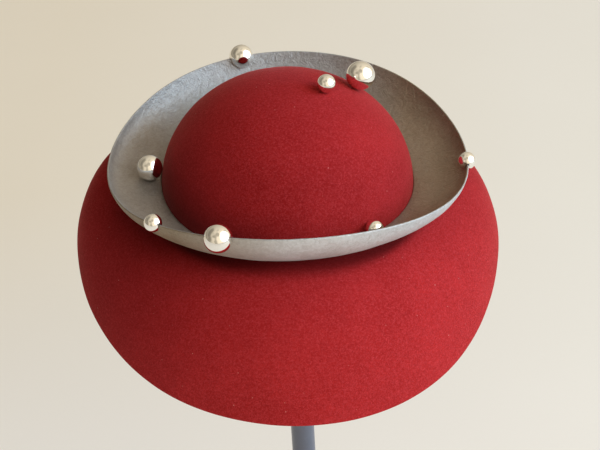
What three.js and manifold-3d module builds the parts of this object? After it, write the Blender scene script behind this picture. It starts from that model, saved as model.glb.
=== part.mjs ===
// A felt hat on a plain stand: a round red crown, a grey saucer-shaped collar turned up around it, a deep bell brim
// below, and eight polished balls on the collar's rim, in its hollow and on the crown. Millimetres, +Z up.
import * as THREE from 'three';
import { mergeVertices } from 'three/addons/utils/BufferGeometryUtils.js';
import Module from 'manifold-3d';

const wasm = await Module();
wasm.setup();

// ---- driving dimensions --------------------------------------------------------------------------------------------
const GAP = 0.3; // between pieces that meet
const FELT = 2.0; // crown and brim wall
const COLLAR_WALL = 1.6;

const CROWN_RADIUS = 102.9; // outside, at the foot
const CROWN_HEIGHT = 90.1; // outside, above the foot
const CROWN_SKIRT = 11.0; // straight wall below the foot, inside the collar and the brim

const COLLAR_FOOT_SLOPE = 16; // degrees above level where the collar leaves the crown
const COLLAR_FULLNESS = 1.1; // how far the two end slopes reach along the profile, as a share of its chord

const BRIM_TOP = -3.5; // where the brim leaves the crown
const BRIM_TOP_SLOPE = 9.7; // degrees below level there
const BRIM_EDGE_SLOPE = 78.4; // degrees below level at the edge
const BRIM_FULLNESS = 1.15;

const HAT_HEIGHT = 430; // the crown's foot above what the stand stands on
const HAT_LEAN = 2.6; // degrees, the hat leans towards +X on its stand

const STAND_BASE_RADIUS = 95;
const STAND_BASE_THICKNESS = 8;
const STAND_BASE_BEVEL = 1.5;
const STAND_POST_RADIUS = 10.6;
const STAND_TOP_RADIUS = 45;
const STAND_TOP_UNDERSIDE = 66; // above the crown's foot
const STAND_TOP_GAP = 0.5; // under the crown's inner face

const RING_STEPS = 60; // facets round the hat
const CROWN_ROWS = 9;
const COLLAR_ROWS = 6;
const BRIM_ROWS = 7;

// Sections round the hat, every 30 degrees. azimuth 0 is the front (-Y), 90 is +X.
// collar: the rim's radius and height and its slope above level there, and the height of the foot on the crown.
// brim: the edge's radius and height. Heights are from the crown's foot.
const SECTIONS = [
  { azimuth: 0, rimRadius: 146.1, rimHeight: 51.6, rimSlope: 82, footHeight: 5, edgeRadius: 176.5, edgeHeight: -106.7 },
  { azimuth: 30, rimRadius: 146.7, rimHeight: 48.0, rimSlope: 82, footHeight: 5.4, edgeRadius: 175.1, edgeHeight: -108.3 },
  { azimuth: 60, rimRadius: 146.7, rimHeight: 34.5, rimSlope: 81, footHeight: 3, edgeRadius: 174.6, edgeHeight: -91.8 },
  { azimuth: 90, rimRadius: 145.7, rimHeight: 25.1, rimSlope: 77, footHeight: 2, edgeRadius: 176.0, edgeHeight: -60.0 },
  { azimuth: 120, rimRadius: 145.1, rimHeight: 28.9, rimSlope: 70, footHeight: 2, edgeRadius: 178.2, edgeHeight: -42.3 },
  { azimuth: 150, rimRadius: 145.9, rimHeight: 34.8, rimSlope: 62, footHeight: 2, edgeRadius: 179.1, edgeHeight: -46.0 },
  { azimuth: 180, rimRadius: 147.0, rimHeight: 35.0, rimSlope: 59, footHeight: 2, edgeRadius: 177.8, edgeHeight: -50.0 },
  { azimuth: 210, rimRadius: 146.9, rimHeight: 31.4, rimSlope: 62, footHeight: 2, edgeRadius: 175.3, edgeHeight: -44.0 },
  { azimuth: 240, rimRadius: 146.0, rimHeight: 23.1, rimSlope: 70, footHeight: 3, edgeRadius: 173.8, edgeHeight: -34.0 },
  { azimuth: 270, rimRadius: 145.6, rimHeight: 17.9, rimSlope: 77, footHeight: 4, edgeRadius: 174.4, edgeHeight: -46.8 },
  { azimuth: 300, rimRadius: 145.6, rimHeight: 26.9, rimSlope: 81, footHeight: 1, edgeRadius: 176.2, edgeHeight: -77.2 },
  { azimuth: 330, rimRadius: 145.7, rimHeight: 42.8, rimSlope: 82, footHeight: 2, edgeRadius: 177.2, edgeHeight: -98.6 },
];

// Polished balls: centres in the hat's own frame, from the crown's foot. A ball that is seated on the rim has a slot for it.
const BALLS = [
  { name: 'ball_back_rim', x: -41.0, y: 141.1, z: 33.1, radius: 10.5, onRim: true },
  { name: 'ball_crown_top', x: 30.9, y: 0.6, z: 93.9, radius: 7.4, onRim: false },
  { name: 'ball_crown_shoulder', x: 58.8, y: 28.4, z: 84.0, radius: 11.7, onRim: false },
  { name: 'ball_right_rim', x: 145.0, y: -6.5, z: 25.0, radius: 7.3, onRim: true },
  { name: 'ball_hollow_left', x: -111.9, y: -5.5, z: 17.2, radius: 10.6, onRim: false },
  { name: 'ball_left_rim', x: -101.4, y: -104.7, z: 35.7, radius: 7.1, onRim: true },
  { name: 'ball_front_rim', x: -50.4, y: -137.7, z: 46.1, radius: 11.0, onRim: true },
  { name: 'ball_hollow_right', x: 67.9, y: -85.4, z: 15.6, radius: 7.2, onRim: false },
];

// ---- section functions ---------------------------------------------------------------------------------------------
const rad = THREE.MathUtils.degToRad;

// A smooth closed curve through the table's rows: their harmonics up to the fifth.
function around(column) {
  const n = SECTIONS.length;
  const harmonics = [];
  for (let k = 0; k <= 5; k++) {
    let c = 0, s = 0;
    for (const row of SECTIONS) {
      c += row[column] * Math.cos(k * rad(row.azimuth));
      s += row[column] * Math.sin(k * rad(row.azimuth));
    }
    harmonics.push([(k ? 2 : 1) * c / n, (k ? 2 : 1) * s / n]);
  }
  return (azimuth) => harmonics.reduce((sum, [c, s], k) => sum + c * Math.cos(k * azimuth) + s * Math.sin(k * azimuth), 0);
}
const rimRadius = around('rimRadius');
const rimHeight = around('rimHeight');
const rimSlope = around('rimSlope');
const footHeight = around('footHeight');
const edgeRadius = around('edgeRadius');
const edgeHeight = around('edgeHeight');

// A profile from start to end that leaves and arrives at the given slopes (degrees), as points with their normals.
function profile(start, end, slopeStart, slopeEnd, fullness, rows) {
  const reach = fullness * start.distanceTo(end);
  const leave = new THREE.Vector2(Math.cos(rad(slopeStart)), Math.sin(rad(slopeStart))).multiplyScalar(reach / 3);
  const arrive = new THREE.Vector2(Math.cos(rad(slopeEnd)), Math.sin(rad(slopeEnd))).multiplyScalar(reach / 3);
  const curve = new THREE.CubicBezierCurve(start, start.clone().add(leave), end.clone().sub(arrive), end);
  const points = [];
  for (let j = 0; j <= rows; j++) {
    const tangent = curve.getTangent(j / rows);
    points.push({ at: curve.getPoint(j / rows), normal: new THREE.Vector2(-tangent.y, tangent.x) });
  }
  return points;
}

// The wall's outline round its middle line: below it from start to end, then back above it.
function wall(points, thickness) {
  const below = points.map((p) => p.at.clone().addScaledVector(p.normal, -thickness / 2));
  const above = points.map((p) => p.at.clone().addScaledVector(p.normal, thickness / 2));
  return [...below, ...above.reverse()];
}

function collarOutline(azimuth, thickness = COLLAR_WALL, past = 0) {
  const start = new THREE.Vector2(CROWN_RADIUS + GAP + 0.5, footHeight(azimuth));
  const slope = rimSlope(azimuth);
  const end = new THREE.Vector2(rimRadius(azimuth), rimHeight(azimuth));
  const points = profile(start, end, COLLAR_FOOT_SLOPE, slope, COLLAR_FULLNESS, COLLAR_ROWS);
  if (past) {
    const last = points[points.length - 1];
    last.at.x += past * Math.cos(rad(slope));
    last.at.y += past * Math.sin(rad(slope));
  }
  return wall(points, thickness);
}

function brimOutline(azimuth) {
  const start = new THREE.Vector2(CROWN_RADIUS + GAP + 0.2, BRIM_TOP);
  const end = new THREE.Vector2(edgeRadius(azimuth), edgeHeight(azimuth));
  return wall(profile(start, end, -BRIM_TOP_SLOPE, -BRIM_EDGE_SLOPE, BRIM_FULLNESS, BRIM_ROWS), FELT);
}

function crownOutline() {
  const outside = [new THREE.Vector2(CROWN_RADIUS, -CROWN_SKIRT)];
  const inside = [new THREE.Vector2(CROWN_RADIUS - FELT, -CROWN_SKIRT)];
  for (let j = 0; j <= CROWN_ROWS; j++) {
    const t = (j / CROWN_ROWS) * Math.PI / 2;
    const last = j === CROWN_ROWS;
    outside.push(new THREE.Vector2(last ? 0 : CROWN_RADIUS * Math.cos(t), CROWN_HEIGHT * Math.sin(t)));
    inside.push(new THREE.Vector2(last ? 0 : (CROWN_RADIUS - FELT) * Math.cos(t), (CROWN_HEIGHT - FELT) * Math.sin(t)));
  }
  return [...inside.reverse(), ...outside];
}

// ---- geometry helpers ----------------------------------------------------------------------------------------------
// A lathed ring whose outline changes with the azimuth: every vertex of the lathe moves to its own section.
function ring(outlineAt) {
  const first = outlineAt(0);
  const geometry = new THREE.LatheGeometry([...first, first[0]], RING_STEPS);
  const perStep = first.length + 1;
  const position = geometry.attributes.position;
  for (let i = 0; i <= RING_STEPS; i++) {
    const azimuth = (2 * Math.PI * (i % RING_STEPS)) / RING_STEPS;
    const outline = outlineAt(azimuth);
    for (let j = 0; j < perStep; j++) {
      const p = outline[j % first.length];
      position.setXYZ(i * perStep + j, p.x * Math.sin(azimuth), p.y, p.x * Math.cos(azimuth));
    }
  }
  return geometry.rotateX(Math.PI / 2);
}

const lathe = (outline, steps) => new THREE.LatheGeometry(outline, steps).rotateX(Math.PI / 2);

function toManifold(geometry) {
  const bare = geometry.clone();
  bare.deleteAttribute('normal');
  bare.deleteAttribute('uv');
  const merged = mergeVertices(bare, 1e-4);
  return new wasm.Manifold(new wasm.Mesh({
    numProp: 3,
    vertProperties: new Float32Array(merged.attributes.position.array),
    triVerts: new Uint32Array(merged.index.array),
  }));
}

function fromManifold(manifold) {
  const mesh = manifold.getMesh();
  const geometry = new THREE.BufferGeometry();
  geometry.setAttribute('position', new THREE.BufferAttribute(new Float32Array(mesh.vertProperties), 3));
  geometry.setIndex(new THREE.BufferAttribute(new Uint32Array(mesh.triVerts), 1));
  return geometry;
}

function piece(name, geometry, material, parent) {
  const mesh = new THREE.Mesh(geometry, material);
  mesh.name = name;
  parent.add(mesh);
  return mesh;
}

// ---- materials -----------------------------------------------------------------------------------------------------
const redFelt = () => new THREE.MeshStandardMaterial({ color: 0x9c1f26, roughness: 0.95, metalness: 0 });
const greyCollar = () => new THREE.MeshStandardMaterial({ color: 0x8d8b88, roughness: 0.5, metalness: 0.2 });
const silver = () => new THREE.MeshStandardMaterial({ color: 0xe6e4df, roughness: 0.08, metalness: 1 });
const standMetal = () => new THREE.MeshStandardMaterial({ color: 0x5a5c64, roughness: 0.45, metalness: 0.6 });

// ---- the hat, leaning a little on its stand ------------------------------------------------------------------------
const model = new THREE.Group();
const hat = new THREE.Group();
hat.position.set(0, 0, HAT_HEIGHT);
hat.rotation.y = rad(HAT_LEAN);
model.add(hat);

piece('crown', lathe(crownOutline(), RING_STEPS), redFelt(), hat);
piece('collar', ring((azimuth) => collarOutline(azimuth)), greyCollar(), hat);
piece('brim', ring(brimOutline), redFelt(), hat);

const slot = toManifold(ring((azimuth) => collarOutline(azimuth, COLLAR_WALL + 2 * GAP, GAP)));
for (const ball of BALLS) {
  const steps = ball.radius > 9 ? 20 : 16;
  const sphere = new THREE.SphereGeometry(ball.radius, steps, steps / 2 + 1).rotateX(Math.PI / 2).translate(ball.x, ball.y, ball.z);
  piece(ball.name, ball.onRim ? fromManifold(toManifold(sphere).subtract(slot)) : sphere, silver(), hat);
}

// ---- the stand: a round base, a post and a domed top that fits under the crown -------------------------------------
const baseOutline = [
  new THREE.Vector2(0, 0),
  new THREE.Vector2(STAND_BASE_RADIUS - STAND_BASE_BEVEL, 0),
  new THREE.Vector2(STAND_BASE_RADIUS, STAND_BASE_BEVEL),
  new THREE.Vector2(STAND_BASE_RADIUS, STAND_BASE_THICKNESS - STAND_BASE_BEVEL),
  new THREE.Vector2(STAND_BASE_RADIUS - STAND_BASE_BEVEL, STAND_BASE_THICKNESS),
  new THREE.Vector2(0, STAND_BASE_THICKNESS),
];
piece('stand_base', lathe(baseOutline, 48), standMetal(), model);

const postFoot = STAND_BASE_THICKNESS + GAP;
const postHead = HAT_HEIGHT + STAND_TOP_UNDERSIDE - GAP;
const post = new THREE.CylinderGeometry(STAND_POST_RADIUS, STAND_POST_RADIUS, postHead - postFoot, 24).rotateX(Math.PI / 2);
piece('stand_post', post, standMetal(), model).position.z = (postFoot + postHead) / 2;

const topBlock = new THREE.CylinderGeometry(STAND_TOP_RADIUS, STAND_TOP_RADIUS, 40, 32).rotateX(Math.PI / 2)
  .translate(0, 0, HAT_HEIGHT + STAND_TOP_UNDERSIDE + 20);
const underCrown = new THREE.SphereGeometry(1, 60, 40).rotateX(Math.PI / 2)
  .scale(CROWN_RADIUS - FELT - STAND_TOP_GAP, CROWN_RADIUS - FELT - STAND_TOP_GAP, CROWN_HEIGHT - FELT - STAND_TOP_GAP)
  .rotateY(rad(HAT_LEAN)).translate(0, 0, HAT_HEIGHT);
piece('stand_top', fromManifold(toManifold(topBlock).intersect(toManifold(underCrown))), standMetal(), model);

export default model;
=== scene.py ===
# A red felt hat on a plain post stand: a round crown, a silver-grey dish collar, a bell brim and eight polished balls.
# Metres, +Z up, in the same frame as the CAD part. Shapes are worked out in millimetres in the hat's own frame, which
# stands at the crown's foot and leans a little on the stand, and are then placed.
import math

import bpy
import numpy as np
from mathutils import Matrix, Vector, noise


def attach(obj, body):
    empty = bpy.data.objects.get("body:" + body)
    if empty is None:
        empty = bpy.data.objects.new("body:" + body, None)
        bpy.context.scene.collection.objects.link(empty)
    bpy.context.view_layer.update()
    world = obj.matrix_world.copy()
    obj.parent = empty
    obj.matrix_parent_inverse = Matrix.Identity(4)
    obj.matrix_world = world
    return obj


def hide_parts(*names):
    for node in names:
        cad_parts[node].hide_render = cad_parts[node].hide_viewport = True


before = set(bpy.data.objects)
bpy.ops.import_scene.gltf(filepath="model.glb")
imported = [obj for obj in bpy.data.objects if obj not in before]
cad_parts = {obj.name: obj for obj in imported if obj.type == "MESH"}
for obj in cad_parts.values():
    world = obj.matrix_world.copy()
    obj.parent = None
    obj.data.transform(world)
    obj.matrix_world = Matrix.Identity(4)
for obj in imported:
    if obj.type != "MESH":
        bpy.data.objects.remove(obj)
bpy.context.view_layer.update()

# ---- sizes, as in the part ------------------------------------------------------------------------------------------
GAP = 0.3
FELT = 2.0
COLLAR_WALL = 1.6
CROWN_RADIUS = 102.9
CROWN_HEIGHT = 90.1
CROWN_SKIRT = 11.0
COLLAR_FOOT_SLOPE = 16.0
COLLAR_FULLNESS = 1.1
BRIM_TOP = -3.5
BRIM_TOP_SLOPE = 9.7
BRIM_EDGE_SLOPE = 78.4
BRIM_FULLNESS = 1.15
HAT_HEIGHT = 430.0
HAT_LEAN = 2.6
STAND_BASE_RADIUS = 95.0
STAND_BASE_THICKNESS = 8.0
STAND_BASE_BEVEL = 1.5
STAND_POST_RADIUS = 10.6
STAND_TOP_RADIUS = 45.0
STAND_TOP_UNDERSIDE = 66.0
STAND_TOP_GAP = 0.5

# Sections round the hat, every 30 degrees from the front (-Y) towards +X:
# rim radius, rim height, rim slope, foot height, edge radius, edge height.
COLUMNS = ("rim_radius", "rim_height", "rim_slope", "foot_height", "edge_radius", "edge_height")
SECTIONS = (
    (146.1, 51.6, 82, 5.0, 176.5, -106.7),
    (146.7, 48.0, 82, 5.4, 175.1, -108.3),
    (146.7, 34.5, 81, 3.0, 174.6, -91.8),
    (145.7, 25.1, 77, 2.0, 176.0, -60.0),
    (145.1, 28.9, 70, 2.0, 178.2, -42.3),
    (145.9, 34.8, 62, 2.0, 179.1, -46.0),
    (147.0, 35.0, 59, 2.0, 177.8, -50.0),
    (146.9, 31.4, 62, 2.0, 175.3, -44.0),
    (146.0, 23.1, 70, 3.0, 173.8, -34.0),
    (145.6, 17.9, 77, 4.0, 174.4, -46.8),
    (145.6, 26.9, 81, 1.0, 176.2, -77.2),
    (145.7, 42.8, 82, 2.0, 177.2, -98.6),
)
# name, centre in the hat's frame, radius, seated on the rim
BALLS = (
    ("ball_back_rim", (-41.0, 141.1, 33.1), 10.5, True),
    ("ball_crown_top", (30.9, 0.6, 93.9), 7.4, False),
    ("ball_crown_shoulder", (58.8, 28.4, 84.0), 11.7, False),
    ("ball_right_rim", (145.0, -6.5, 25.0), 7.3, True),
    ("ball_hollow_left", (-111.9, -5.5, 17.2), 10.6, False),
    ("ball_left_rim", (-101.4, -104.7, 35.7), 7.1, True),
    ("ball_front_rim", (-50.4, -137.7, 46.1), 11.0, True),
    ("ball_hollow_right", (67.9, -85.4, 15.6), 7.2, False),
)


# ---- section functions ----------------------------------------------------------------------------------------------
def around(column):
    """A smooth closed curve through the table's rows: their harmonics up to the fifth."""
    values = np.array([row[COLUMNS.index(column)] for row in SECTIONS], float)
    n = len(values)
    turns = 2 * np.pi * np.arange(n) / n
    waves = [((2 if k else 1) * (values * np.cos(k * turns)).sum() / n, (2 if k else 1) * (values * np.sin(k * turns)).sum() / n) for k in range(6)]
    return lambda az: sum(c * np.cos(k * az) + s * np.sin(k * az) for k, (c, s) in enumerate(waves))


rim_radius, rim_height, rim_slope = around("rim_radius"), around("rim_height"), around("rim_slope")
foot_height, edge_radius, edge_height = around("foot_height"), around("edge_radius"), around("edge_height")


def profile(start, end, slope_start, slope_end, fullness, t):
    """Points and normals of the Bezier that leaves and arrives at the given slopes. Arrays: azimuth, step, (r, z)."""
    start, end = np.asarray(start, float), np.asarray(end, float)
    reach = fullness * np.linalg.norm(end - start, axis=-1, keepdims=True) / 3
    unit = lambda slope: np.stack([np.cos(np.radians(slope)), np.sin(np.radians(slope))], -1)
    a, b, c, d = start, start + unit(slope_start) * reach, end - unit(slope_end) * reach, end
    t = np.asarray(t, float)[None, :, None]
    a, b, c, d = (p[:, None, :] for p in (a, b, c, d))
    at = (1 - t) ** 3 * a + 3 * (1 - t) ** 2 * t * b + 3 * (1 - t) * t ** 2 * c + t ** 3 * d
    way = 3 * (1 - t) ** 2 * (b - a) + 6 * (1 - t) * t * (c - b) + 3 * t ** 2 * (d - c)
    way /= np.linalg.norm(way, axis=-1, keepdims=True)
    return at, np.stack([-way[..., 1], way[..., 0]], -1), way


def wall(at, normal, way, thickness, edge_steps=7, foot_steps=3):
    """The closed outline of a sheet round its middle line, with a rounded edge at its end and a softer one at its foot."""
    h = thickness / 2
    below, above = at - normal * h, at + normal * h
    turn = lambda sign, steps: np.linspace(-np.pi / 2, np.pi / 2, steps + 2)[1:-1] * sign
    tip = lambda j, sign, angles: np.stack([at[:, j] - sign * way[:, j] * h + (sign * way[:, j] * math.cos(x) + normal[:, j] * math.sin(x)) * h for x in angles], 1)
    below, above = below.copy(), above.copy()
    # the last and first rows draw back by half the wall, so that the rounding ends where the flat end would be
    below[:, -1] -= way[:, -1] * h
    above[:, -1] -= way[:, -1] * h
    below[:, 0] += way[:, 0] * h
    above[:, 0] += way[:, 0] * h
    return np.concatenate([below, tip(-1, 1, turn(1, edge_steps)), above[:, ::-1], tip(0, -1, turn(-1, foot_steps))], 1)


def collar_middle(az, t, past=0.0):
    start = np.stack([np.full_like(az, CROWN_RADIUS + 0.1), foot_height(az)], -1)
    end = np.stack([rim_radius(az), rim_height(az)], -1)
    at, normal, way = profile(start, end, np.full_like(az, COLLAR_FOOT_SLOPE), rim_slope(az), COLLAR_FULLNESS, t)
    if past:
        at = at.copy()
        at[:, -1] += way[:, -1] * past
    return at, normal, way


def brim_middle(az, t):
    start = np.stack([np.full_like(az, CROWN_RADIUS + 0.1), np.full_like(az, BRIM_TOP)], -1)
    end = np.stack([edge_radius(az), edge_height(az)], -1)
    return profile(start, end, np.full_like(az, -BRIM_TOP_SLOPE), np.full_like(az, -BRIM_EDGE_SLOPE), BRIM_FULLNESS, t)


def swing(outline, az):
    """(azimuth, step, (r, z)) to points in the hat's frame."""
    r, z = outline[..., 0], outline[..., 1]
    a = np.asarray(az)[:, None]
    return np.stack([r * np.sin(a), -r * np.cos(a), z], -1)


# ---- placing and meshing --------------------------------------------------------------------------------------------
LEAN = np.array(Matrix.Rotation(math.radians(HAT_LEAN), 3, "Y"))


def placed(points):
    """Hat frame, millimetres, to the part's frame, metres."""
    return (np.asarray(points, float).reshape(-1, 3) @ LEAN.T + (0, 0, HAT_HEIGHT)) * 0.001


def mesh_object(name, verts, faces, smooth=True):
    me = bpy.data.meshes.new(name)
    me.from_pydata([tuple(v) for v in np.asarray(verts, float)], [], [tuple(int(i) for i in f) for f in faces])
    me.update()
    # faces point out when the signed volume is positive
    me.calc_loop_triangles()
    co = np.array([v.co[:] for v in me.vertices])
    tri = np.array([t.vertices[:] for t in me.loop_triangles])
    volume = np.einsum("ij,ij->i", co[tri[:, 0]], np.cross(co[tri[:, 1]], co[tri[:, 2]])).sum() / 6
    if volume < 0:
        me.flip_normals()
    if smooth:
        me.polygons.foreach_set("use_smooth", [True] * len(me.polygons))
    me.update()
    ob = bpy.data.objects.new(name, me)
    bpy.context.scene.collection.objects.link(ob)
    return ob


def weight(ob, name, values):
    """Stores one number a point, for the piece's material."""
    attribute = ob.data.attributes.new(name, "FLOAT", "POINT")
    attribute.data.foreach_set("value", np.asarray(values, np.float32).ravel())


def grid_faces(n, m):
    """Quads of a grid that is closed both ways."""
    i = np.arange(n * m).reshape(n, m)
    a, b = i, np.roll(i, -1, 0)
    return np.stack([a, b, np.roll(b, -1, 1), np.roll(a, -1, 1)], -1).reshape(-1, 4)


def lathe_faces(n, m):
    """Quads round a lathe of n steps whose m rows start and end in a single point each: point, rows, point."""
    faces = []
    row = lambda j: 1 + j * n
    for i in range(n):
        k = (i + 1) % n
        faces.append((0, row(0) + i, row(0) + k))
        faces.append((1 + m * n, row(m - 1) + k, row(m - 1) + i))
        for j in range(m - 1):
            faces.append((row(j) + i, row(j + 1) + i, row(j + 1) + k, row(j) + k))
    return faces


def lathe(outline, n, bend=None):
    """A closed lathe of an outline whose first and last points are on the axis."""
    outline = np.asarray(outline, float)
    az = 2 * np.pi * np.arange(n) / n
    rings = np.stack([outline[1:-1, 0][:, None] * np.sin(az), -outline[1:-1, 0][:, None] * np.cos(az), np.repeat(outline[1:-1, 1][:, None], n, 1)], -1)
    points = np.concatenate([[(0, 0, outline[0, 1])], rings.reshape(-1, 3), [(0, 0, outline[-1, 1])]])
    if bend is not None:
        points = bend(points)
    return points, lathe_faces(n, len(outline) - 2)


def unevenness(points, seed, scales):
    """A smooth uneven field at the points: the sum of noises, each (size of the bumps in mm, amplitude in mm)."""
    out = np.zeros(len(points))
    for number, (size, amplitude) in enumerate(scales):
        shift = Vector((seed * 7.3 + number * 13.7, seed * 3.1, number * 5.9))
        out += amplitude * np.array([noise.noise(Vector(p) / size + shift) for p in points])
    return out


def rounded(points, radius, steps=5):
    """A polyline with its inner corners rounded."""
    points = [np.array(p, float) for p in points]
    out = [points[0]]
    for a, b, c in zip(points, points[1:], points[2:]):
        u, v = (a - b) / np.linalg.norm(a - b), (c - b) / np.linalg.norm(c - b)
        reach = min(radius, np.linalg.norm(a - b) * 0.45, np.linalg.norm(c - b) * 0.45)
        p, q = b + u * reach, b + v * reach
        for s in np.linspace(0, 1, steps + 1):
            out.append((1 - s) ** 2 * p + 2 * (1 - s) * s * b + s * s * q)
    out.append(points[-1])
    return np.array(out)


# ---- materials ------------------------------------------------------------------------------------------------------
class Nodes:
    def __init__(self, name):
        self.material = bpy.data.materials.new(name)
        self.material.use_nodes = True
        self.tree = self.material.node_tree
        self.tree.nodes.clear()
        self.out = self.new("ShaderNodeOutputMaterial")
        self.shader = self.new("ShaderNodeBsdfPrincipled")
        self.link(self.shader.outputs[0], self.out.inputs["Surface"])
        self.place = self.new("ShaderNodeTexCoord").outputs["Object"]

    def new(self, kind, **settings):
        node = self.tree.nodes.new(kind)
        for key, value in settings.items():
            setattr(node, key, value)
        return node

    def link(self, a, b):
        self.tree.links.new(a, b)

    def scaled(self, sx, sy, sz, turn=(0, 0, 0)):
        node = self.new("ShaderNodeMapping")
        node.inputs["Scale"].default_value = (sx, sy, sz)
        node.inputs["Rotation"].default_value = turn
        self.link(self.place, node.inputs["Vector"])
        return node.outputs[0]

    def noise(self, size, detail=2.0, rough=0.5, distortion=0.0, vector=None):
        """Noise with features of about this size in metres."""
        node = self.new("ShaderNodeTexNoise")
        node.inputs["Scale"].default_value = 1.0 / size
        node.inputs["Detail"].default_value = detail
        node.inputs["Roughness"].default_value = rough
        node.inputs["Distortion"].default_value = distortion
        self.link(vector or self.place, node.inputs["Vector"])
        return node.outputs["Fac"]

    def cells(self, size, feature="F1", output="Distance", randomness=1.0):
        node = self.new("ShaderNodeTexVoronoi", feature=feature)
        node.inputs["Scale"].default_value = 1.0 / size
        node.inputs["Randomness"].default_value = randomness
        self.link(self.place, node.inputs["Vector"])
        return node.outputs[output]

    def spread(self, value, low, high, to_low=0.0, to_high=1.0, kind="LINEAR"):
        node = self.new("ShaderNodeMapRange", interpolation_type=kind)
        for socket, number in zip(("From Min", "From Max", "To Min", "To Max"), (low, high, to_low, to_high)):
            node.inputs[socket].default_value = number
        self.link(value, node.inputs["Value"])
        return node.outputs[0]

    def math(self, operation, a, b):
        node = self.new("ShaderNodeMath", operation=operation)
        for socket, value in zip(node.inputs, (a, b)):
            if isinstance(value, (int, float)):
                socket.default_value = value
            else:
                self.link(value, socket)
        return node.outputs[0]

    def mix(self, factor, a, b, kind="MIX"):
        node = self.new("ShaderNodeMix", data_type="RGBA", blend_type=kind)
        for socket, value in ((node.inputs[0], factor), (node.inputs[6], a), (node.inputs[7], b)):
            if isinstance(value, (int, float)):
                socket.default_value = value
            elif isinstance(value, tuple):
                socket.default_value = (*value, 1.0)
            else:
                self.link(value, socket)
        return node.outputs[2]

    def bump(self, height, strength, distance, after=None):
        node = self.new("ShaderNodeBump")
        node.inputs["Strength"].default_value = strength
        node.inputs["Distance"].default_value = distance
        self.link(height, node.inputs["Height"])
        if after is not None:
            self.link(after, node.inputs["Normal"])
        return node.outputs[0]

    def set(self, **values):
        for key, value in values.items():
            socket = self.shader.inputs[key.replace("_", " ")]
            if isinstance(value, (int, float)):
                socket.default_value = value
            elif isinstance(value, tuple):
                socket.default_value = (*value, 1.0) if len(value) == 3 and socket.type == "RGBA" else value
            else:
                self.link(value, socket)


def felt_material():
    """Brushed wool felt: matted fibres in slightly different reds, a short nap and a few pale hairs caught in it, with
    painted shade darkening it next to the collar."""
    m = Nodes("red_wool_felt")
    clouds = m.noise(0.045, 3, 0.55)
    mottle = m.noise(0.0040, 3, 0.6)
    matting = m.noise(0.0016, 3, 0.7, 0.6)
    grain = m.noise(0.00070, 2, 0.7)
    colour = m.mix(m.spread(clouds, 0.35, 0.65), (0.366, 0.0138, 0.0146), (0.456, 0.0200, 0.0216))
    colour = m.mix(m.spread(mottle, 0.34, 0.66, 0.0, 0.60), colour, (0.340, 0.0130, 0.0145))
    colour = m.mix(m.spread(matting, 0.42, 0.66, 0.0, 0.75), colour, (0.550, 0.0440, 0.0520))
    colour = m.mix(m.spread(grain, 0.34, 0.50, 0.65, 0.0), colour, (0.225, 0.0070, 0.0080))
    # pale hairs: few cells, small middles
    near = m.spread(m.cells(0.0050), 0.045, 0.105, 1.0, 0.0)
    chosen = m.new("ShaderNodeSeparateColor")
    m.link(m.cells(0.0050, output="Color"), chosen.inputs[0])
    pale = m.math("MULTIPLY", near, m.spread(chosen.outputs[0], 0.90, 0.93))
    colour = m.mix(m.math("MULTIPLY", pale, 0.55), colour, (0.80, 0.42, 0.38))
    # painted shade: the felt is mixed towards a near-black red where the piece's weight is high, for the shadow next to
    # the collar
    painted_shade = m.new("ShaderNodeAttribute", attribute_name="painted_shade").outputs["Fac"]
    colour = m.mix(m.math("MULTIPLY", painted_shade, 0.75), colour, (0.060, 0.0020, 0.0020))
    m.set(Base_Color=colour, Roughness=m.spread(matting, 0.3, 0.7, 0.88, 1.0), Specular_IOR_Level=0.18,
          Sheen_Weight=0.20, Sheen_Roughness=0.40, Sheen_Tint=(1.0, 0.34, 0.32))
    first = m.bump(matting, 0.55, 0.00045)
    second = m.bump(grain, 0.45, 0.00022, first)
    m.set(Normal=m.bump(mottle, 0.30, 0.0006, second))
    return m.material


def collar_material():
    """Silver-grey leather: a satin metallic finish over a fine pebble, with faint creases; painted light makes the
    outside face paler towards the rim, and painted warm shade tints the shaded sides brown."""
    m = Nodes("silver_grey_leather")
    clouds = m.noise(0.030, 4, 0.6)
    pebble = m.cells(0.0016, "SMOOTH_F1")
    creases = m.noise(0.0075, 4, 0.62, 1.2)
    fine = m.noise(0.0009, 2, 0.6)
    colour = m.mix(m.spread(clouds, 0.30, 0.70), (0.335, 0.338, 0.342), (0.420, 0.424, 0.435))
    colour = m.mix(m.spread(pebble, 0.25, 0.75, 0.0, 0.35), colour, (0.245, 0.241, 0.234))
    colour = m.mix(m.spread(fine, 0.35, 0.70, 0.0, 0.25), colour, (0.470, 0.474, 0.478))
    # painted light: the outside face is mixed towards a pale silver near the rim, for the light the band catches
    painted_light_band = m.new("ShaderNodeAttribute", attribute_name="painted_light_band").outputs["Fac"]
    colour = m.mix(m.math("MULTIPLY", painted_light_band, 0.57), colour, (0.780, 0.785, 0.800))
    scuffs = m.noise(0.0048, 5, 0.72, 0.9)
    colour = m.mix(m.spread(scuffs, 0.40, 0.62), colour, (0.86, 0.845, 0.83), "MULTIPLY")
    # painted shade: a warm brown multiplied into the shaded sides, for warm shade and red light thrown from the crown
    tan = m.new("ShaderNodeAttribute", attribute_name="tan").outputs["Fac"]
    colour = m.mix(tan, colour, (0.80, 0.62, 0.38), "MULTIPLY")
    m.set(Base_Color=colour, Metallic=0.30, Roughness=m.spread(clouds, 0.3, 0.7, 0.42, 0.52), Specular_IOR_Level=0.5)
    first = m.bump(pebble, 0.40, 0.00040)
    second = m.bump(creases, 0.60, 0.0017, first)
    m.set(Normal=m.bump(fine, 0.55, 0.00026, second))
    return m.material


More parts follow.
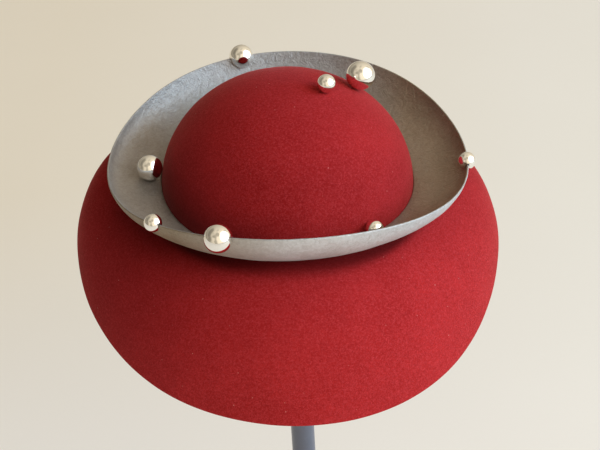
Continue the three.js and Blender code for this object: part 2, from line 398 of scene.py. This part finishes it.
def silver_material():
    """Polished silver plate: a mirror with the faintest haze, dust and handling marks."""
    m = Nodes("polished_silver")
    haze = m.noise(0.004, 3, 0.6)
    dust = m.spread(m.noise(0.0006, 2, 0.6), 0.66, 0.78)
    colour = m.mix(m.spread(haze, 0.3, 0.7), (0.90, 0.875, 0.825), (0.93, 0.91, 0.87))
    colour = m.mix(m.math("MULTIPLY", dust, 0.25), colour, (0.60, 0.57, 0.52))
    m.set(Base_Color=colour, Metallic=1.0, Roughness=m.spread(haze, 0.35, 0.75, 0.035, 0.085))
    m.set(Normal=m.bump(m.noise(0.006, 2, 0.5), 0.12, 0.0006))
    return m.material


def stand_material():
    """Satin blue-grey paint on steel: orange peel, and slightly lighter rubbed places."""
    m = Nodes("stand_paint")
    clouds = m.noise(0.05, 4, 0.6)
    peel = m.noise(0.0014, 2, 0.5)
    rub = m.spread(m.noise(0.012, 5, 0.7), 0.60, 0.74)
    colour = m.mix(m.spread(clouds, 0.3, 0.7), (0.102, 0.116, 0.160), (0.135, 0.151, 0.198))
    colour = m.mix(m.math("MULTIPLY", rub, 0.35), colour, (0.225, 0.238, 0.275))
    m.set(Base_Color=colour, Metallic=0.25, Roughness=m.spread(clouds, 0.3, 0.7, 0.28, 0.38), Specular_IOR_Level=0.8)
    m.set(Normal=m.bump(peel, 0.22, 0.00025))
    return m.material


FELT_MATERIAL = felt_material()
COLLAR_MATERIAL = collar_material()
SILVER_MATERIAL = silver_material()
STAND_MATERIAL = stand_material()


def finish_piece(ob, node, material):
    ob.data.materials.append(material)
    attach(ob, "root")
    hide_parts(node)
    return ob


# ---- camera ---------------------------------------------------------------------------------------------------------
CAMERA_ELEVATION = 37.0
CAMERA_AT = (10.2, -1139.8, 813.8)
FOCAL_PIXELS = 1707.3
c, s = math.cos(math.radians(CAMERA_ELEVATION)), math.sin(math.radians(CAMERA_ELEVATION))
right, up, back = LEAN @ (1, 0, 0), LEAN @ (0, s, c), LEAN @ (0, -c, s)
camera_data = bpy.data.cameras.new("camera")
camera_data.sensor_width = 36.0
camera_data.lens = 36.0 * FOCAL_PIXELS / 600.0
camera_data.clip_start = 0.05
camera_data.clip_end = 50
camera = bpy.data.objects.new("camera", camera_data)
position = placed([CAMERA_AT])[0]
camera.matrix_world = Matrix([[right[i], up[i], back[i], position[i]] for i in range(3)] + [[0, 0, 0, 1]])
bpy.context.scene.collection.objects.link(camera)
bpy.context.scene.camera = camera

# ---- crown ----------------------------------------------------------------------------------------------------------
CROWN_STEPS = 192
rows = np.linspace(0, np.pi / 2, 49)
outside = np.stack([CROWN_RADIUS * np.cos(rows), CROWN_HEIGHT * np.sin(rows)], -1)
inside = np.stack([(CROWN_RADIUS - FELT) * np.cos(rows), (CROWN_HEIGHT - FELT) * np.sin(rows)], -1)
skirt = np.linspace(-CROWN_SKIRT + FELT / 2, 0, 5)[:-1]
tip = [(CROWN_RADIUS - FELT / 2 + FELT / 2 * math.cos(a), -CROWN_SKIRT + FELT / 2 + FELT / 2 * math.sin(a)) for a in np.linspace(-np.pi, 0, 9)[1:-1]]
outline = np.concatenate([
    inside[::-1], [(CROWN_RADIUS - FELT, z) for z in skirt[::-1]], tip, [(CROWN_RADIUS, z) for z in skirt], outside])
outline[0, 0] = outline[-1, 0] = 0


def soften(points):
    """The blocked felt isn't perfectly round: shallow bumps, the same on both sides of the wall, dying out at the foot."""
    radial = points / np.maximum(np.linalg.norm(points * (1, 1, 1.1), axis=1, keepdims=True), 1e-6)
    fade = np.clip((points[:, 2] - 12) / 25, 0, 1)[:, None]
    return points - radial * (np.abs(unevenness(points * (1, 1, 1), 1, ((55, 0.35), (24, 0.12)))))[:, None] * fade


points, faces = lathe(outline, CROWN_STEPS, soften)
crown = mesh_object("crown_felt", placed(points), faces)
# painted shade: the crown's felt is darker towards its foot, most at the front left, for the shadow by the collar
weight(crown, "painted_shade", np.clip((40 - points[:, 2]) / 30, 0, 1) * np.where(points[:, 1] < 0, np.clip(0.4 - points[:, 0] / 120, 0.15, 1), 0.15))
finish_piece(crown, "crown", FELT_MATERIAL)

# ---- collar ---------------------------------------------------------------------------------------------------------
COLLAR_STEPS = 320
az = 2 * np.pi * np.arange(COLLAR_STEPS) / COLLAR_STEPS
t = np.linspace(0, 1, 37)


def uneven_sheet(middle, az, seed, scales, fade):
    """Moves a sheet's middle line along its normal by a smooth uneven field."""
    at, normal, way = middle
    where = swing(at, az).reshape(-1, 3)
    shift = unevenness(where, seed, scales).reshape(at.shape[:2]) * fade
    return at + normal * shift[..., None], normal, way


collar_fade = np.clip(t * 4, 0, 1)[None, :]
middle = uneven_sheet(collar_middle(az, t), az, 2, ((34, 0.35), (13, 0.14), (6, 0.05)), collar_fade)
points = swing(wall(*middle, COLLAR_WALL), az)
collar = mesh_object("collar_leather", placed(points), grid_faces(*points.shape[:2]))
# painted light: the outside band is paler towards the rim, less so at the left front and on the right, where less light
# falls
toward_rim = np.concatenate([np.clip((t - 0.42) / 0.45, 0, 1), np.linspace(1, 0, 7), np.zeros(points.shape[1] - len(t) - 7)])
is_outer = np.concatenate([np.ones(len(t) + 3), np.zeros(points.shape[1] - len(t) - 3)])
across, along = points[..., 0], points[..., 1]
left_front = np.clip(-across / 85, 0, 1) * np.clip((10 - along) / 80, 0, 1)
weight(collar, "painted_light_band", toward_rim * (1 - left_front - 0.45 * np.clip((across - 45) / 45, 0, 1)))
below_rim = np.clip((1 - np.concatenate([np.ones(len(t) + 7), t[::-1], np.zeros(points.shape[1] - 2 * len(t) - 7)])) / 0.35, 0, 1)
# painted shade: warm brown on the shaded inner wall on the right and below the rim on the left, and on the outside at
# the left front
inner_painted_warm_shade = np.maximum(0.8 * np.clip((across - 40) / 60, 0, 1), below_rim * np.clip((-across - 0.5 * along - 65) / 70, 0, 0.34))
weight(collar, "tan", np.where(is_outer > 0, 0.9 * left_front, inner_painted_warm_shade))
finish_piece(collar, "collar", COLLAR_MATERIAL)

# ---- brim -----------------------------------------------------------------------------------------------------------
BRIM_STEPS = 288
az = 2 * np.pi * np.arange(BRIM_STEPS) / BRIM_STEPS
t = np.linspace(0, 1, 45)
middle = uneven_sheet(brim_middle(az, t), az, 3, ((60, 0.55), (26, 0.15)), np.clip(t * 5, 0, 1)[None, :])
points = swing(wall(*middle, FELT), az)
brim = mesh_object("brim_felt", placed(points), grid_faces(*points.shape[:2]))
# painted shade: the brim's felt is darker next to the collar's foot, most at the sides, for the shadow under the collar
out_from_axis = np.hypot(points[..., 0], points[..., 1])
sideways = np.clip(np.abs(points[..., 0]) / 80, 0, 1)
weight(brim, "painted_shade", (1 - np.clip((out_from_axis - 110 - 5 * sideways) / (11 - 5 * sideways), 0, 1)) * (0.6 + 0.5 * sideways))
finish_piece(brim, "brim", FELT_MATERIAL)


# ---- balls ----------------------------------------------------------------------------------------------------------
def ball_points(radius, n, m):
    outline = [(radius * math.sin(a), -radius * math.cos(a)) for a in np.linspace(0, math.pi, m + 1)]
    outline[0], outline[-1] = (0, -radius), (0, radius)
    return lathe(outline, n)


def rim_slot(centre, radius):
    """A short stretch of the collar, a little thicker and longer, for cutting a ball that is seated on the rim."""
    middle_az = math.atan2(centre[0], -centre[1])
    az = middle_az + np.linspace(-1, 1, 25) * (radius + 3) / 140
    outline = wall(*collar_middle(az, np.linspace(0.35, 1, 15), GAP + COLLAR_WALL / 2), COLLAR_WALL + 2 * GAP + 0.3, 5, 1)
    points = swing(outline, az)
    n, m = points.shape[:2]
    i = np.arange(n * m).reshape(n, m)
    quads = np.stack([i[:-1], i[1:], np.roll(i[1:], -1, 1), np.roll(i[:-1], -1, 1)], -1).reshape(-1, 4)
    faces = [tuple(q) for q in quads] + [tuple(i[0]), tuple(i[-1][::-1])]
    return mesh_object("slot", placed(points), faces, False)


def polish(ob, centre, radius):
    """Exact round normals wherever a face lies on the ball, so that its mirror is clean up to the slot."""
    me = ob.data
    me.polygons.foreach_set("use_smooth", [True] * len(me.polygons))
    middle = Vector(centre)
    normals = []
    for polygon in me.polygons:
        flat = polygon.normal
        on_ball = all(abs((me.vertices[v].co - middle).length - radius) < radius * 0.004 for v in polygon.vertices) and (polygon.center - middle).normalized().dot(flat) > 0.97
        for v in polygon.vertices:
            normals.append((me.vertices[v].co - middle).normalized() if on_ball else flat)
    me.normals_split_custom_set(normals)


for name, centre, radius, on_rim in BALLS:
    points, faces = ball_points(radius, 72, 36)
    ball = mesh_object(name + "_silver", placed(points + np.array(centre)), faces)
    if on_rim:
        cutter = rim_slot(centre, radius)
        cut = ball.modifiers.new("slot", "BOOLEAN")
        cut.operation, cut.solver, cut.object = "DIFFERENCE", "EXACT", cutter
        bpy.context.view_layer.update()
        done = bpy.data.meshes.new_from_object(ball.evaluated_get(bpy.context.evaluated_depsgraph_get()))
        ball.modifiers.clear()
        ball.data = done
        bpy.data.objects.remove(cutter)
    polish(ball, placed([centre])[0], radius * 0.001)
    finish_piece(ball, name, SILVER_MATERIAL)

# ---- stand ----------------------------------------------------------------------------------------------------------
upright = lambda points: np.asarray(points, float).reshape(-1, 3) * 0.001
base_outline = rounded([(0, 0), (STAND_BASE_RADIUS, 0), (STAND_BASE_RADIUS, STAND_BASE_THICKNESS), (0, STAND_BASE_THICKNESS)], 2.2, 6)
base_outline = np.concatenate([base_outline[:1], [(r, 0) for r in (20, 45, 70, 85)], base_outline[1:-1], [(r, STAND_BASE_THICKNESS) for r in (85, 70, 45, 20)], base_outline[-1:]])
points, faces = lathe(base_outline, 160)
base = mesh_object("stand_base_disc", upright(points), faces)
finish_piece(base, "stand_base", STAND_MATERIAL)

post_foot, post_head = STAND_BASE_THICKNESS + GAP, HAT_HEIGHT + STAND_TOP_UNDERSIDE - GAP
corners = rounded([(0, post_foot), (STAND_POST_RADIUS, post_foot), (STAND_POST_RADIUS, post_head), (0, post_head)], 0.8, 4)
half = len(corners) // 2
post_outline = np.concatenate([corners[:half], [(STAND_POST_RADIUS, z) for z in np.linspace(post_foot + 8, post_head - 8, 24)], corners[half:]])
points, faces = lathe(post_outline, 96)
post = mesh_object("stand_post_tube", upright(points), faces)
finish_piece(post, "stand_post", STAND_MATERIAL)


def under_crown(points):
    """Lifts the top's upper face to the inside of the leaning crown, half a millimetre under it."""
    a, h = CROWN_RADIUS - FELT - STAND_TOP_GAP, CROWN_HEIGHT - FELT - STAND_TOP_GAP
    out = points.copy()
    lean = math.radians(HAT_LEAN)
    for p in out:
        if p[2] < 1:
            continue
        low, high = 0.0, 120.0  # height above the crown's foot where the leaning ellipsoid ends
        for _ in range(40):
            z = (low + high) / 2
            x_hat = p[0] * math.cos(lean) - z * math.sin(lean)
            z_hat = p[0] * math.sin(lean) + z * math.cos(lean)
            if (x_hat ** 2 + p[1] ** 2) / a ** 2 + z_hat ** 2 / h ** 2 < 1:
                low = z
            else:
                high = z
        p[2] = (low - STAND_TOP_UNDERSIDE) * (p[2] - 1) / 9 if p[2] < 10 else low - STAND_TOP_UNDERSIDE
    return out


top_outline = ([(0, 0), (15, 0), (30, 0), (STAND_TOP_RADIUS - 1.0, 0), (STAND_TOP_RADIUS - 0.3, 0.3), (STAND_TOP_RADIUS, 0.9)]
               + [(STAND_TOP_RADIUS, 1 + 9 * k / 6) for k in range(1, 6)] + [(r, 10) for r in (45, 44.7, 44, 42, 38, 33, 28, 22, 16, 10, 5)] + [(0, 10)])
points, faces = lathe(top_outline, 96, under_crown)
points[:, 2] += HAT_HEIGHT + STAND_TOP_UNDERSIDE
top = mesh_object("stand_top_dome", upright(points), faces)
finish_piece(top, "stand_top", STAND_MATERIAL)

# ---- floor, light ---------------------------------------------------------------------------------------------------
floor_data = bpy.data.meshes.new("floor")
floor_data.from_pydata([(-6, -6, 0), (6, -6, 0), (6, 6, 0), (-6, 6, 0)], [], [(0, 1, 2, 3)])
floor = bpy.data.objects.new("floor", floor_data)
bpy.context.scene.collection.objects.link(floor)
f = Nodes("pale_floor")
tone = f.mix(f.spread(f.noise(0.25, 3, 0.5), 0.3, 0.7), (0.30, 0.285, 0.25), (0.32, 0.305, 0.27))
across = f.new("ShaderNodeSeparateXYZ")
f.link(f.place, across.inputs[0])
glow = f.mix(f.spread(across.outputs[0], -0.35, 0.30), (0.94, 0.83, 0.64), (1.00, 0.93, 0.80))
glow = f.mix(f.spread(across.outputs[1], 0.10, 0.60, 1.0, 0.0), glow, (1.045, 0.985, 0.885))
f.set(Base_Color=tone, Roughness=0.9, Specular_IOR_Level=0.1, Emission_Color=glow, Emission_Strength=0.59)
f.set(Normal=f.bump(f.noise(0.006, 3, 0.6), 0.15, 0.001))
floor_data.materials.append(f.material)
floor.visible_shadow = False


def area_light(name, direction, distance, size, power, colour, aim=(0, 0, 0.36)):
    data = bpy.data.lights.new(name, "AREA")
    data.shape, data.size, data.size_y = "RECTANGLE", size[0], size[1]
    data.energy, data.color = power, colour
    ob = bpy.data.objects.new(name, data)
    way = Vector(direction).normalized()
    ob.location = Vector(aim) + way * distance
    ob.rotation_euler = way.to_track_quat("Z", "Y").to_euler()
    bpy.context.scene.collection.objects.link(ob)
    return ob


# name, azimuth from the front towards the right, elevation, power, colour: a cool window low on the right, and the
# paler light of the room from the front, above and behind
LIGHTS = (
    ("window", 90, 20, 38.0, (0.34, 0.70, 1.0)),
    ("window_side", 60, 30, 16.5, (1.0, 0.98, 0.94)),
    ("window_high", 100, 42, 8.8, (1.0, 0.92, 0.82)),
    ("front_right", 45, 45, 12.0, (1.0, 0.93, 0.86)),
    ("front", 0, 55, 8.0, (1.0, 0.82, 0.66)),
    ("behind", 180, 40, 7.0, (1.0, 0.60, 0.32)),
    ("table", 35, -22, 14.0, (1.0, 0.93, 0.88)),
)
for name, azimuth, elevation, power, colour in LIGHTS:
    a, e = math.radians(azimuth), math.radians(elevation)
    light = area_light(name, (math.sin(a) * math.cos(e), -math.cos(a) * math.cos(e), math.sin(e)), 2.4, (1.2, 1.2), power, colour, (0, 0, 0.40))
    light.visible_glossy = False
    light.visible_camera = False

# the room: matt surfaces get only a little warm light from it; mirrors and satin surfaces show a soft window on the
# right, a pale ceiling and front, and dimmer uneven furnishings
world = bpy.data.worlds.new("room")
bpy.context.scene.world = world
world.use_nodes = True
wt = world.node_tree
wt.nodes.clear()


def w_new(kind, **settings):
    node = wt.nodes.new(kind)
    for name, value in settings.items():
        setattr(node, name, value)
    return node


def w_set(socket, value):
    if isinstance(value, (int, float)):
        socket.default_value = value
    elif isinstance(value, tuple):
        socket.default_value = (*value, 1.0) if socket.type == "RGBA" else value
    else:
        wt.links.new(value, socket)


def w_math(operation, a, b):
    node = w_new("ShaderNodeMath", operation=operation)
    w_set(node.inputs[0], a)
    w_set(node.inputs[1], b)
    return node.outputs[0]


def w_toward(direction):
    node = w_new("ShaderNodeVectorMath", operation="DOT_PRODUCT")
    w_set(node.inputs[0], w_place)
    w_set(node.inputs[1], tuple(direction))
    return node.outputs["Value"]


def w_range(value, low, high, to_low, to_high, kind="SMOOTHSTEP"):
    node = w_new("ShaderNodeMapRange", interpolation_type=kind)
    for number, item in enumerate((value, low, high, to_low, to_high)):
        w_set(node.inputs[number], item)
    return node.outputs[0]


def w_mix(factor, a, b):
    node = w_new("ShaderNodeMix", data_type="RGBA")
    for socket, value in ((node.inputs[0], factor), (node.inputs[6], a), (node.inputs[7], b)):
        w_set(socket, value)
    return node.outputs[2]


w_place = w_new("ShaderNodeTexCoord").outputs["Generated"]
w_path = w_new("ShaderNodeLightPath")
w_noise = w_new("ShaderNodeTexNoise")
w_noise.inputs["Scale"].default_value = 1.15
w_noise.inputs["Detail"].default_value = 1.0
w_set(w_noise.inputs["Vector"], w_place)
base = w_math("ADD", w_toward((0.26, -0.17, 0.10)), 0.50)
things = w_range(w_noise.outputs["Fac"], 0.36, 0.52, 0.78, 1.48)
window = w_range(w_toward(Vector((0.86, -0.25, 0.44)).normalized()), 0.68, 0.96, 0.0, 2.7)
shown = w_math("ADD", w_math("MULTIPLY", base, things), window)
strength = w_mix(w_path.outputs["Is Glossy Ray"], base, shown)
strength = w_math("MULTIPLY", strength, w_range(w_path.outputs["Is Diffuse Ray"], 0.0, 1.0, 1.0, 0.0, "LINEAR"))
tone = w_mix(w_range(window, 0.0, 2.0, 0.0, 1.0), (1.0, 0.88, 0.68), (0.84, 0.93, 1.0))
w_background = w_new("ShaderNodeBackground")
w_set(w_background.inputs["Color"], tone)
w_set(w_background.inputs["Strength"], strength)
w_set(w_new("ShaderNodeOutputWorld").inputs[0], w_background.outputs[0])

bpy.context.scene.view_settings.view_transform = "Standard"
